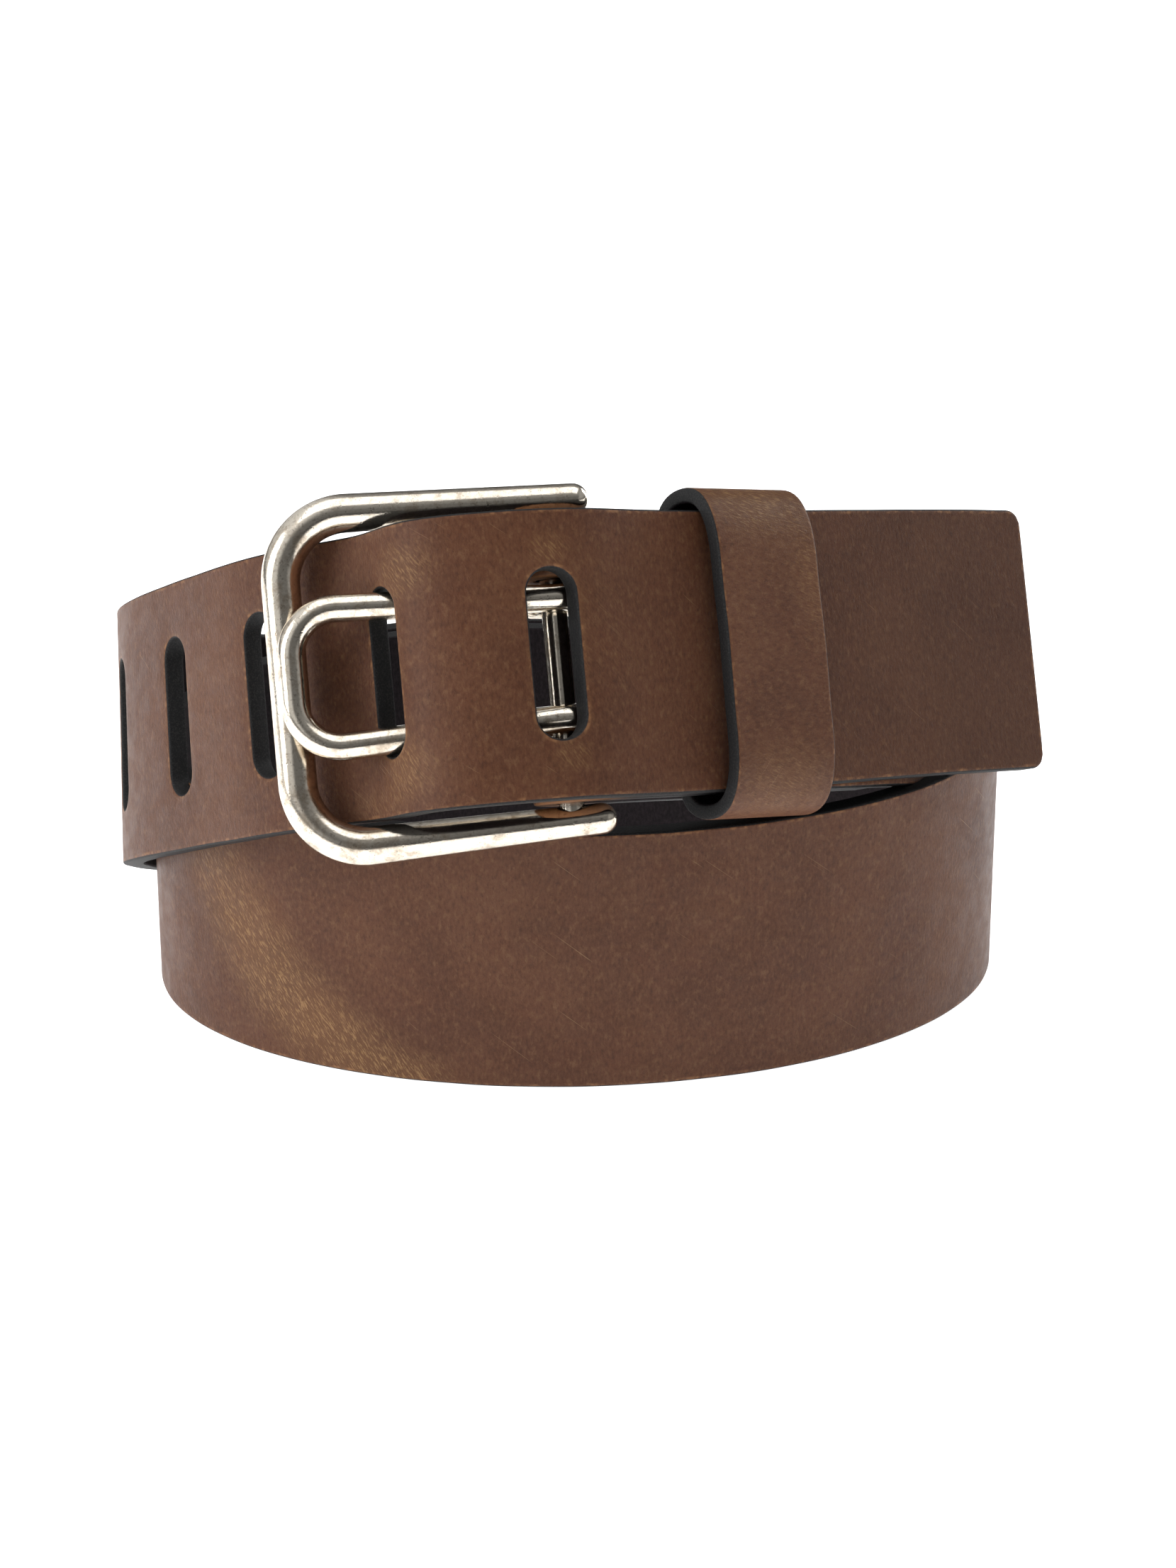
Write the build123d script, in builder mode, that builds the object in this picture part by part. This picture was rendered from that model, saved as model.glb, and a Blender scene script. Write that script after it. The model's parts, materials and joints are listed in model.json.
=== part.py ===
"""Leather belt, wound into two turns, buckled and standing on its lower edge.

Frame: millimetres, +Z up, the lower edge of the coil on Z = 0, +Y away from the buckle.
The strap is one piece.  It starts at the centre bar of the buckle, high at the front, goes down
to the floor round the right side, runs once round flat on its edge, rises again up the left side
and passes through the buckle and the keeper to its square tip.
"""

import os
from math import cos, radians, sin

from build123d import *

os.makedirs("parts", exist_ok=True)

# ---- strap -----------------------------------------------------------------------------------
STRAP_WIDTH = 40.0
STRAP_THICKNESS = 3.4
STRAP_HALF = STRAP_THICKNESS / 2

SLOT_LENGTH = 23.5
SLOT_WIDTH = 6.8
SLOT_PITCH = 25.0
SLOT_COUNT = 5
TIP_LENGTH = 91.0  # from the last slot
TIP_CORNER_RADIUS = 2.5

# ---- flat part of the coil: an elliptical spiral standing on its edge ----------------------------
COIL_CENTRE = (0.3, 10.8)
COIL_TURN = 4.9  # degrees that the ellipse is turned about Z
COIL_SEMI_X = 65.2  # to the middle of the strap, at the front
COIL_SEMI_Y = 47.0
COIL_GROWTH = 4.2  # per turn, outwards
COIL_START = 80  # degrees, at the back on the right
COIL_FRONT = 270
COIL_END = 480  # degrees, at the back on the left, just over a turn later
COIL_STEP = 40

# ---- buckle's plane, and the straight run that follows it ----------------------------------------
BAR_CENTRE = (-1.1, -41.3, 67.4)
WIDTH_DIRECTION = Vector(-0.10, 0.44, 1.0)  # of the strap, leaning back and a little to the left
RUN_ANGLE = 37.7  # degrees, from the buckle's plane to the run through the keeper

# ---- buckle end of the strap ---------------------------------------------------------------------
BAR_RADIUS = 1.8
BAR_CLEARANCE = 0.1
FOLD_RADIUS = BAR_RADIUS + BAR_CLEARANCE + STRAP_HALF
RUN_END = 56.0  # from the bar
POCKET_START = 13.0  # the flap stands off here, to make a pocket for the keeper
POCKET_END = 40.0
POCKET_OFFSET = 2.8
FLAP_OFFSET = -0.1
FLAP_START = 47.0
FLAP_END = 55.0
PRONG_OPENING = 25.0
PRONG_OPENING_END = 7.5

# ---- tip end of the strap, which lies on the buckle end ------------------------------------------
LAYER_GAP = 0.6
TIP_OFFSET = FOLD_RADIUS + STRAP_THICKNESS + LAYER_GAP
TIP_RUN_START = 11.2
TIP_RUN_END = 84.8
TIP_LINE = [  # middle line in the buckle's plane, from the left side to the bar
    (-68.6, 68.0),
    (-68.2, 58.0),
    (-64.5, 46.5),
    (-58.0, 35.0),
    (-50.5, 23.5),
    (-42.5, 13.0),
    (-32.5, 4.6),
    (-26.0, 0.3),
    (-22.4, -4.7),
    (-19.2, -8.9),
    (-12.5, -11.3),
    (-5.0, -10.4),
    (2.0, -8.0),
]

# ---- runs between the buckle's plane and the flat coil -------------------------------------------
RIGHT_POINTS = [(59.0, -0.7, 55.5), (69.0, 27.3, 43.0), (47.0, 49.8, 21.0)]
RIGHT_APPROACH = 16.0
LEFT_APPROACH = 19.0
SECTIONS = 12

# ---- buckle --------------------------------------------------------------------------------------
WIRE_RADIUS = 2.75
ARM_END_RADIUS = 2.2
OUTER_BAR_PLACE = 37.75  # from the centre bar
ARM_HALF_HEIGHT = 23.2  # to the middle of the wire, at the outer bar
ARM_END_HALF_HEIGHT = 22.5
CORNER_RADIUS = 9.5
ARM_OVERHANG = 4.0  # past the centre bar

PRONG_RADIUS = 1.95
PRONG_REACH = 36.9
PRONG_HALF_HEIGHT = 9.4
PRONG_EYE_HALF_HEIGHT = 8.4
PRONG_CORNER_RADIUS = 6.5
PRONG_PITCH = 1.25  # degrees, so that the prong rests on the outer bar
EYE_RADIUS = BAR_RADIUS + BAR_CLEARANCE + PRONG_RADIUS
EYE_ANGLE = 230

# ---- room for the prong's legs in the slot that they come through ---------------------------------
RELIEF_PLAY = (-1.0, 4.2)  # degrees, of the buckle and the prong together
RELIEF_GAP = 0.25
RELIEF_ENDS = (-31.0, -15.0)
RELIEF_WIDTH = 5.0
RELIEF_HALF_SPACING = 9.0

# ---- keeper --------------------------------------------------------------------------------------
KEEPER_WIDTH = 18.5
KEEPER_THICKNESS = 2.2
KEEPER_PLACE = 28.8  # along the run, from the bar
KEEPER_GAP = 0.3
KEEPER_ABOVE = 0.8
KEEPER_BELOW = 0.5
KEEPER_BULGE = 1.2
KEEPER_CORNER_RADIUS = 3.0
STAPLE_SPAN = 11.0
STAPLE_WIRE = 0.8
STAPLE_DEPTH = 1.7

# ---- screws through the returned flap ------------------------------------------------------------
SCREW_PLACE = 51.0  # along the run, from the bar
SCREW_HALF_SPACING = 11.0
POST_RADIUS = 2.4
POST_CLEARANCE = 0.1
HEAD_RADIUS = 4.2
HEAD_THICKNESS = 0.9
HEAD_PROUD = 0.3
SCREW_RADIUS = 1.5
SCREW_LENGTH = 3.5
THREAD_CLEARANCE = 0.05
DRIVE_SLOT_WIDTH = 0.8
DRIVE_SLOT_DEPTH = 0.4


def turned(plane, angle):
    """The plane turned about its own Z axis."""
    x_dir = plane.x_dir * cos(radians(angle)) + plane.y_dir * sin(radians(angle))
    return Plane(origin=plane.origin, x_dir=x_dir, z_dir=plane.z_dir)


def place(plane, along, across, up=0.0):
    """A point of a plane's own frame, in the belt's frame."""
    return plane.from_local_coords(Vector(along, across, up))


# In these planes X runs along the strap, Y inwards through it and Z across its width.
buckle_plane = Plane(origin=BAR_CENTRE, x_dir=(1, 0, 0), z_dir=WIDTH_DIRECTION)
run_plane = turned(buckle_plane, RUN_ANGLE)
prong_plane = turned(buckle_plane, PRONG_PITCH)


def face_of(plane, depth):
    """The plane's X and Z as a sketch plane, at a depth along its Y."""
    return Plane(origin=place(plane, 0, depth), x_dir=plane.x_dir, z_dir=-plane.y_dir)


def coil_point(angle):
    """The middle line of the flat coil, at an angle about its centre."""
    growth = COIL_GROWTH * (angle - COIL_FRONT) / 360
    x = (COIL_SEMI_X + growth) * cos(radians(angle))
    y = (COIL_SEMI_Y + growth) * sin(radians(angle))
    return Vector(x, y).rotate(Axis.Z, COIL_TURN) + Vector(*COIL_CENTRE)


def strip(plane, *lines):
    """A stretch of strap that follows lines in a plane, its width along the plane's Z."""
    with BuildPart() as piece:
        for line in lines:
            with BuildSketch(plane):
                trace(line, line_width=STRAP_THICKNESS)
            extrude(amount=STRAP_WIDTH / 2, both=True)
    return piece.part


def twisted_strip(path, first_up, last_up):
    """A stretch of strap along a path, its width turning from one direction to another."""
    with BuildPart() as piece:
        for section in range(SECTIONS + 1):
            part_way = section / SECTIONS
            ease = part_way * part_way * (3 - 2 * part_way)
            up = first_up * (1 - ease) + last_up * ease
            heading = path % part_way
            with BuildSketch(Plane(path @ part_way, x_dir=up.cross(heading), z_dir=heading)):
                Rectangle(STRAP_THICKNESS, STRAP_WIDTH)
        loft()
    return piece.part


# ---- middle lines of the strap -------------------------------------------------------------------
coil_line = Spline(*[coil_point(angle) for angle in range(COIL_START, COIL_END + 1, COIL_STEP)])
half_width = Vector(0, 0, STRAP_WIDTH / 2)

run_end = place(run_plane, RUN_END, -FOLD_RADIUS)
coil_start = coil_line @ 0 + half_width
right_line = Bezier(run_end, *RIGHT_POINTS, coil_start - (coil_line % 0) * RIGHT_APPROACH, coil_start)

coil_end = coil_line @ 1 + half_width
tip_start = place(buckle_plane, *TIP_LINE[0])
left_line = Bezier(
    coil_end,
    coil_end + (coil_line % 1) * LEFT_APPROACH,
    tip_start + buckle_plane.y_dir * LEFT_APPROACH,
    tip_start,
)

run_direction = Vector(cos(radians(RUN_ANGLE)), sin(radians(RUN_ANGLE)))  # in the buckle's plane
tip_run_ends = [
    buckle_plane.to_local_coords(place(run_plane, along, -TIP_OFFSET))
    for along in (TIP_RUN_START, TIP_RUN_END)
]
tip_curve = Spline(*TIP_LINE, tip_run_ends[0], tangents=[(0, -1), run_direction])
last_slot = tip_curve.length + TIP_RUN_END - TIP_RUN_START - TIP_LENGTH

front_layer = Line((RUN_END, -FOLD_RADIUS), (0, -FOLD_RADIUS))
fold = ThreePointArc(front_layer @ 1, (-FOLD_RADIUS, 0), (0, FOLD_RADIUS))
pocket = Line((POCKET_START, POCKET_OFFSET), (POCKET_END, POCKET_OFFSET))
flap = Line((FLAP_START, FLAP_OFFSET), (FLAP_END, FLAP_OFFSET))
to_pocket = Spline(fold @ 1, pocket @ 0, tangents=[(1, 0), (1, 0)])
to_flap = Spline(pocket @ 1, flap @ 0, tangents=[(1, 0), (1, 0)])

screw_points = [(SCREW_PLACE, -SCREW_HALF_SPACING), (SCREW_PLACE, SCREW_HALF_SPACING)]

# ---- strap ---------------------------------------------------------------------------------------
floor_up = Vector(0, 0, 1)
buckle_end = strip(run_plane, front_layer, fold, to_pocket, pocket, to_flap, flap)
right_run = twisted_strip(right_line, buckle_plane.z_dir, floor_up)
coil = strip(Plane.XY.offset(STRAP_WIDTH / 2), coil_line)
left_run = twisted_strip(left_line, floor_up, buckle_plane.z_dir)
tip_end = strip(buckle_plane, tip_curve, Line(*tip_run_ends))

with BuildPart() as strap:
    add(buckle_end)
    with BuildSketch(run_plane):
        with Locations((PRONG_OPENING_END, 0)):
            Rectangle(20, 20, align=(Align.MAX, Align.CENTER))
    extrude(amount=PRONG_OPENING / 2, both=True, mode=Mode.SUBTRACT)

    add([right_run, coil, left_run, tip_end])
    through_strap = Axis(place(run_plane, TIP_RUN_END, -TIP_OFFSET), run_plane.y_dir)
    tip_corners = strap.edges().filter_by(through_strap).sort_by_distance(through_strap.position)[:2]
    fillet(tip_corners, TIP_CORNER_RADIUS)

    # slots
    for slot in range(SLOT_COUNT):
        distance = last_slot - slot * SLOT_PITCH
        middle = tip_curve.position_at(distance, position_mode=PositionMode.LENGTH)
        heading = tip_curve.tangent_at(distance, position_mode=PositionMode.LENGTH)
        outward = buckle_plane.x_dir * heading.Y - buckle_plane.y_dir * heading.X
        with BuildSketch(Plane(place(buckle_plane, middle.X, middle.Y), buckle_plane.z_dir, outward)):
            SlotOverall(SLOT_LENGTH, SLOT_WIDTH)
        extrude(amount=STRAP_HALF + LAYER_GAP / 2, both=True, mode=Mode.SUBTRACT)

    # the lips of the prong's slot, pressed open by its two legs
    inner_plane = turned(prong_plane, RELIEF_PLAY[0])
    outer_plane = turned(prong_plane, RELIEF_PLAY[1])
    leg_inside = -EYE_RADIUS + PRONG_RADIUS + RELIEF_GAP
    leg_outside = -EYE_RADIUS - PRONG_RADIUS - RELIEF_GAP
    window = [place(inner_plane, along, leg_inside) for along in RELIEF_ENDS]
    window += [place(outer_plane, along, leg_outside) for along in reversed(RELIEF_ENDS)]
    for side in (-1, 1):
        relief_plane = Plane(
            place(buckle_plane, 0, 0, side * RELIEF_HALF_SPACING),
            buckle_plane.x_dir,
            buckle_plane.z_dir,
        )
        corners = [relief_plane.to_local_coords(corner) for corner in window]
        with BuildSketch(relief_plane):
            Polygon(*[(corner.X, corner.Y) for corner in corners], align=None)
        extrude(amount=RELIEF_WIDTH / 2, both=True, mode=Mode.SUBTRACT)

    # holes for the screw posts, with a seat for each screw head
    with BuildSketch(face_of(run_plane, 0)):
        with Locations(*screw_points):
            Circle(POST_RADIUS + POST_CLEARANCE)
    extrude(amount=FOLD_RADIUS + STRAP_HALF, both=True, mode=Mode.SUBTRACT)
    with BuildSketch(face_of(run_plane, -FOLD_RADIUS - STRAP_HALF)):
        with Locations(*screw_points):
            Circle(HEAD_RADIUS + POST_CLEARANCE)
    extrude(amount=HEAD_PROUD - HEAD_THICKNESS, mode=Mode.SUBTRACT)

strap.part.label = "strap"
export_step(strap.part, "parts/strap.step")

# ---- buckle frame: a wire bent to a U, its arms open towards the keeper --------------------------
arm_start = CORNER_RADIUS - OUTER_BAR_PLACE
with BuildPart() as buckle_frame:
    with BuildLine(face_of(buckle_plane, 0)) as bend:
        upper_corner = JernArc((arm_start, ARM_HALF_HEIGHT), (-1, 0), CORNER_RADIUS, 90)
        outer_bar = Line(upper_corner @ 1, (-OUTER_BAR_PLACE, CORNER_RADIUS - ARM_HALF_HEIGHT))
        JernArc(outer_bar @ 1, (0, -1), CORNER_RADIUS, 90)
    with BuildSketch(Plane(bend.line @ 0, z_dir=buckle_plane.x_dir)):
        Circle(WIRE_RADIUS)
    sweep(path=bend.line)
    for side in (-1, 1):
        arm_root = place(buckle_plane, arm_start, 0, side * ARM_HALF_HEIGHT)
        arm_end = place(buckle_plane, ARM_OVERHANG, 0, side * ARM_END_HALF_HEIGHT)
        with BuildSketch(Plane(arm_root, z_dir=buckle_plane.x_dir)):
            Circle(WIRE_RADIUS)
        with BuildSketch(Plane(arm_end, z_dir=buckle_plane.x_dir)):
            Circle(ARM_END_RADIUS)
        loft()
        with Locations(arm_end):
            Sphere(ARM_END_RADIUS)
    with BuildSketch(buckle_plane):
        Circle(BAR_RADIUS)
    extrude(amount=ARM_END_HALF_HEIGHT, both=True, mode=Mode.SUBTRACT)

buckle_frame.part.label = "buckle_frame"
export_step(buckle_frame.part, "parts/buckle_frame.step")

# ---- centre bar, pressed into the arms -----------------------------------------------------------
with BuildPart() as centre_bar:
    with BuildSketch(buckle_plane):
        Circle(BAR_RADIUS)
    extrude(amount=ARM_END_HALF_HEIGHT - BAR_CLEARANCE, both=True)

centre_bar.part.label = "centre_bar"
export_step(centre_bar.part, "parts/centre_bar.step")

# ---- prong: a wire bent to a U, each leg curled round the centre bar -----------------------------
spread = (PRONG_HALF_HEIGHT - PRONG_EYE_HALF_HEIGHT) / (PRONG_REACH - PRONG_CORNER_RADIUS)
closed_end_half_height = PRONG_EYE_HALF_HEIGHT + PRONG_REACH * spread
with BuildPart() as prong:
    with BuildLine(face_of(prong_plane, -EYE_RADIUS)) as legs:
        FilletPolyline(
            (0, PRONG_EYE_HALF_HEIGHT),
            (-PRONG_REACH, closed_end_half_height),
            (-PRONG_REACH, -closed_end_half_height),
            (0, -PRONG_EYE_HALF_HEIGHT),
            radius=PRONG_CORNER_RADIUS,
        )
    with BuildSketch(Plane(legs.line @ 0, z_dir=prong_plane.x_dir)):
        Circle(PRONG_RADIUS)
    sweep(path=legs.line)
    for side in (-1, 1):
        eye_start = place(prong_plane, 0, -EYE_RADIUS, side * PRONG_EYE_HALF_HEIGHT)
        with BuildSketch(Plane(eye_start, z_dir=prong_plane.x_dir)):
            Circle(PRONG_RADIUS)
        revolve(axis=Axis(prong_plane.origin, prong_plane.z_dir), revolution_arc=EYE_ANGLE)

prong.part.label = "prong"
export_step(prong.part, "parts/prong.step")

# ---- keeper and the staple that closes it --------------------------------------------------------
keeper_plane = Plane(place(run_plane, KEEPER_PLACE, 0), x_dir=run_plane.y_dir, z_dir=run_plane.x_dir)
keeper_front = -TIP_OFFSET - STRAP_HALF - KEEPER_GAP - KEEPER_THICKNESS
keeper_back = -FOLD_RADIUS + STRAP_HALF + KEEPER_GAP + KEEPER_THICKNESS
keeper_top = STRAP_WIDTH / 2 + KEEPER_ABOVE + KEEPER_THICKNESS
keeper_foot = -STRAP_WIDTH / 2 - KEEPER_BELOW - KEEPER_THICKNESS

with BuildPart() as keeper_staple:
    with BuildSketch(keeper_plane):
        with Locations((keeper_back, 0)):
            Rectangle(STAPLE_DEPTH, STAPLE_SPAN, align=(Align.MAX, Align.CENTER))
        with Locations((keeper_back - STAPLE_WIRE, 0)):
            Rectangle(
                STAPLE_DEPTH,
                STAPLE_SPAN - 2 * STAPLE_WIRE,
                align=(Align.MAX, Align.CENTER),
                mode=Mode.SUBTRACT,
            )
    extrude(amount=STAPLE_WIRE / 2, both=True)

keeper_staple.part.label = "keeper_staple"
export_step(keeper_staple.part, "parts/keeper_staple.step")

with BuildPart() as keeper:
    with BuildSketch(keeper_plane):
        with BuildLine():
            back = Polyline(
                (keeper_front, keeper_top),
                (keeper_back, keeper_top),
                (keeper_back, keeper_foot),
                (keeper_front, keeper_foot),
            )
            middle = (keeper_front - KEEPER_BULGE, (keeper_top + keeper_foot) / 2)
            ThreePointArc(back @ 1, middle, back @ 0)
        outline = make_face()
        fillet(outline.vertices(), KEEPER_CORNER_RADIUS)
        offset(amount=-KEEPER_THICKNESS, mode=Mode.SUBTRACT)
    extrude(amount=KEEPER_WIDTH / 2, both=True)
    add(keeper_staple.part, mode=Mode.SUBTRACT)

keeper.part.label = "keeper"
export_step(keeper.part, "parts/keeper.step")

# ---- screws that hold the returned flap, each with its post --------------------------------------
flap_back = FLAP_OFFSET + STRAP_HALF + POST_CLEARANCE
screw_seat = -FOLD_RADIUS - STRAP_HALF + HEAD_THICKNESS - HEAD_PROUD

with BuildPart() as screw_posts:
    with BuildSketch(face_of(run_plane, flap_back)):
        with Locations(*screw_points):
            Circle(HEAD_RADIUS)
    extrude(amount=-HEAD_THICKNESS)
    with BuildSketch(face_of(run_plane, flap_back)):
        with Locations(*screw_points):
            Circle(POST_RADIUS)
    extrude(amount=flap_back - screw_seat - POST_CLEARANCE)
    with BuildSketch(face_of(run_plane, screw_seat)):
        with Locations(*screw_points):
            Circle(SCREW_RADIUS + THREAD_CLEARANCE)
    extrude(amount=-SCREW_LENGTH - POST_CLEARANCE, mode=Mode.SUBTRACT)

screw_posts.part.label = "screw_posts"
export_step(screw_posts.part, "parts/screw_posts.step")

with BuildPart() as screws:
    with BuildSketch(face_of(run_plane, screw_seat)):
        with Locations(*screw_points):
            Circle(HEAD_RADIUS)
    extrude(amount=HEAD_THICKNESS)
    with BuildSketch(face_of(run_plane, screw_seat)):
        with Locations(*screw_points):
            Circle(SCREW_RADIUS)
    extrude(amount=-SCREW_LENGTH)
    with BuildSketch(face_of(run_plane, screw_seat - HEAD_THICKNESS)):
        with Locations(*screw_points):
            Rectangle(2 * HEAD_RADIUS, DRIVE_SLOT_WIDTH)
    extrude(amount=-DRIVE_SLOT_DEPTH, mode=Mode.SUBTRACT)

screws.part.label = "screws"
export_step(screws.part, "parts/screws.step")
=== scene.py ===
import json
from math import cos, pi, radians, sin

import bmesh
import bpy
import numpy as np
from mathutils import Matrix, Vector, noise


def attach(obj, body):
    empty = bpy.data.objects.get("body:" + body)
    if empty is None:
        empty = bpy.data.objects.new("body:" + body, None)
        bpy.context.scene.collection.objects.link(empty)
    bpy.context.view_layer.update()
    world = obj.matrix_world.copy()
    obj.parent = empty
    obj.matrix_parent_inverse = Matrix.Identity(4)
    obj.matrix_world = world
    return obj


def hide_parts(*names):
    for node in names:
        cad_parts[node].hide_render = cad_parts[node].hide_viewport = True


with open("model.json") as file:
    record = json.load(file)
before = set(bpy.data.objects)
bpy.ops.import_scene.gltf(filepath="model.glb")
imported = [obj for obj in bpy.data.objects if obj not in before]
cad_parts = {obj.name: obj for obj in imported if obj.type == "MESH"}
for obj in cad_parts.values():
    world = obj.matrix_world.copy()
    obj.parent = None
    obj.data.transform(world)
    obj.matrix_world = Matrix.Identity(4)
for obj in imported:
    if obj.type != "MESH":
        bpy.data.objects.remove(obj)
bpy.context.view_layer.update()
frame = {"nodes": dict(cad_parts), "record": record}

# Everything is in metres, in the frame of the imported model.  In the plane square to the buckle's bar,
# "along" runs along the strap from the bar, "inward" goes in through it, and "up" is across its width.
MM = 0.001
joints = {joint["name"]: joint for joint in frame["record"]["behaviour"]["joints"]}
BAR = np.array(joints["frame_swing"]["pos_m"])
FLOOR_UP = np.array([0.0, 0.0, 1.0])

# ---- strap ---------------------------------------------------------------------------------------
STRAP_WIDTH = 0.040
STRAP_THICKNESS = 0.0034
SLOT_LENGTH = 0.0235
SLOT_WIDTH = 0.0068
SLOT_PITCH = 0.025
SLOT_COUNT = 5
TIP_LENGTH = 0.091
TIP_CORNER_RADIUS = 0.0025
EDGE_ROUNDING = 0.00042

COIL_CENTRE = (0.0003, 0.0108)
COIL_TURN = radians(4.9)
COIL_SEMI_X = 0.0652
COIL_SEMI_Y = 0.0470
COIL_GROWTH = 0.0042
COIL_BACK_RISE = 0.0028
COIL_RISE_TURN = radians(25)
COIL_START, COIL_FRONT, COIL_END = radians(80), radians(270), radians(480)

FOLD_RADIUS = 0.0036
OPENING_WIDTH = 0.0226
OPENING_LENGTH = 0.0263
OPENING_RADIUS = 0.0035
RUN_END = 0.056
FLAP_LINE = [(0.013, 0.0028), (0.040, 0.0028), (0.047, -0.0001), (0.055, -0.0001)]
TIP_OFFSET = 0.0076
TIP_RUN_START = 0.0112
TIP_RUN_END = 0.0848
TIP_RISE = 0.0013
TIP_LINE = [
    (-0.0686, 0.0680),
    (-0.0682, 0.0580),
    (-0.0645, 0.0465),
    (-0.0580, 0.0350),
    (-0.0505, 0.0235),
    (-0.0425, 0.0130),
    (-0.0325, 0.0046),
    (-0.0260, 0.0003),
    (-0.0224, -0.0047),
    (-0.0192, -0.0089),
    (-0.0125, -0.0113),
    (-0.0050, -0.0104),
    (0.0020, -0.0080),
]
RIGHT_POINTS = [(0.0590, -0.0007, 0.0555), (0.0690, 0.0273, 0.0430), (0.0470, 0.0498, 0.0210)]
RIGHT_APPROACH = 0.016
LEFT_APPROACH = 0.019
LEFT_LEAN = radians(3.5)

# ---- prong's legs, which press the lips of their slot open ---------------------------------------
PRONG_RADIUS = 0.00195
PRONG_OFFSET = 0.00385
PRONG_EYE_HALF_HEIGHT = 0.0084
PRONG_SPREAD = 1.0 / 30.4
PRONG_PITCH = radians(1.25)
PRONG_SLOT = 1
LIP_REACH = 0.012
LIP_GAP = 0.00015

# ---- keeper --------------------------------------------------------------------------------------
KEEPER_WIDTH = 0.0185
KEEPER_THICKNESS = 0.0022
KEEPER_PLACE = 0.0288
KEEPER_LINE = [
    (-0.0004, 0.0000),
    (-0.0004, 0.0100),
    (-0.0006, 0.0170),
    (-0.0022, 0.0212),
    (-0.0058, 0.0226),
    (-0.0096, 0.0217),
    (-0.0119, 0.0180),
    (-0.0126, 0.0100),
    (-0.0128, 0.0000),
    (-0.0126, -0.0100),
    (-0.0119, -0.0180),
    (-0.0096, -0.0217),
    (-0.0058, -0.0226),
    (-0.0022, -0.0212),
    (-0.0006, -0.0170),
    (-0.0004, -0.0100),
    (-0.0004, 0.0000),
]


# ---- lines ---------------------------------------------------------------------------------------
def unit(vectors):
    vectors = np.asarray(vectors, float)
    return vectors / np.linalg.norm(vectors, axis=-1, keepdims=True)


UP = unit(joints["frame_swing"]["axis"])
RUN = unit(joints["keeper_slide"]["axis"])
RUN_INWARD = np.cross(UP, RUN)
ALONG = unit(np.array([1.0, 0.0, 0.0]) - UP[0] * UP)
INWARD = np.cross(UP, ALONG)
PRONG_ALONG = cos(PRONG_PITCH) * ALONG + sin(PRONG_PITCH) * INWARD
PRONG_INWARD = np.cross(UP, PRONG_ALONG)


def buckle_point(along, inward, up=0.0):
    """A point given in the buckle's plane."""
    return BAR + along * ALONG + inward * INWARD + up * UP


def run_point(along, inward, up=0.0):
    """A point given in the plane of the straight run through the keeper."""
    return BAR + along * RUN + inward * RUN_INWARD + up * UP


def ease(value):
    value = np.clip(value, 0.0, 1.0)
    return value * value * (3 - 2 * value)


def smooth_line(knots, first_heading, last_heading, per_span=40):
    """Points of a smooth line through the knots, with its heading at each end."""
    knots = np.array(knots, float)
    spans = np.linalg.norm(np.diff(knots, axis=0), axis=1)
    count = len(knots)
    system = np.zeros((count, count))
    right = np.zeros_like(knots)
    for i in range(1, count - 1):
        before, after = spans[i - 1], spans[i]
        system[i, i - 1 : i + 2] = after, 2 * (before + after), before
        right[i] = 3 * after * (knots[i] - knots[i - 1]) / before
        right[i] += 3 * before * (knots[i + 1] - knots[i]) / after
    for end, heading in ((0, first_heading), (-1, last_heading)):
        system[end, end] = 1
        right[end] = heading
    slopes = np.linalg.solve(system, right)
    points = []
    for i, span in enumerate(spans):
        t = np.linspace(0, 1, per_span, endpoint=False)[:, None]
        points.append(
            (2 * t**3 - 3 * t**2 + 1) * knots[i]
            + (t**3 - 2 * t**2 + t) * span * slopes[i]
            + (3 * t**2 - 2 * t**3) * knots[i + 1]
            + (t**3 - t**2) * span * slopes[i + 1]
        )
    return np.vstack(points + [knots[-1:]])


def bezier_line(controls, samples=400):
    """Points of a Bezier curve."""
    points = np.array(controls, float)[:, None, :]
    t = np.linspace(0, 1, samples)[:, None]
    while len(points) > 1:
        points = points[:-1] * (1 - t) + points[1:] * t
    return points[0]


def straight_line(first, last, samples=60):
    return np.linspace(first, last, samples)


def coil_point(angle):
    """The middle line of the coil, which rises a little off the floor at the back."""
    growth = COIL_GROWTH * (angle - COIL_FRONT) / (2 * pi)
    x = (COIL_SEMI_X + growth) * cos(angle)
    y = (COIL_SEMI_Y + growth) * sin(angle)
    return np.array(
        [
            COIL_CENTRE[0] + x * cos(COIL_TURN) - y * sin(COIL_TURN),
            COIL_CENTRE[1] + x * sin(COIL_TURN) + y * cos(COIL_TURN),
            STRAP_WIDTH / 2 + COIL_BACK_RISE * max(sin(angle - COIL_RISE_TURN), 0.0) ** 2,
        ]
    )


class Route:
    """A line that a band follows, with the direction across the band at each point."""

    def __init__(self, stretches):
        points, ups = [], []
        for line, across in stretches:
            across = np.broadcast_to(across, line.shape)
            start = 1 if points else 0
            points.append(line[start:])
            ups.append(across[start:])
        self.points = np.vstack(points)
        steps = np.linalg.norm(np.diff(self.points, axis=0), axis=1)
        self.places = np.concatenate([[0], np.cumsum(steps)])
        self.length = self.places[-1]
        self.headings = unit(np.gradient(self.points, self.places, axis=0))
        self.ups = np.vstack(ups)

    def at(self, places):
        """Point, heading, across and outward directions at places along the route."""
        point, heading, up = (
            np.stack([np.interp(places, self.places, rows[:, axis]) for axis in range(3)], axis=1)
            for rows in (self.points, self.headings, self.ups)
        )
        heading = unit(heading)
        up = unit(up - (up * heading).sum(axis=1, keepdims=True) * heading)
        return point, heading, up, np.cross(up, heading)


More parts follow.
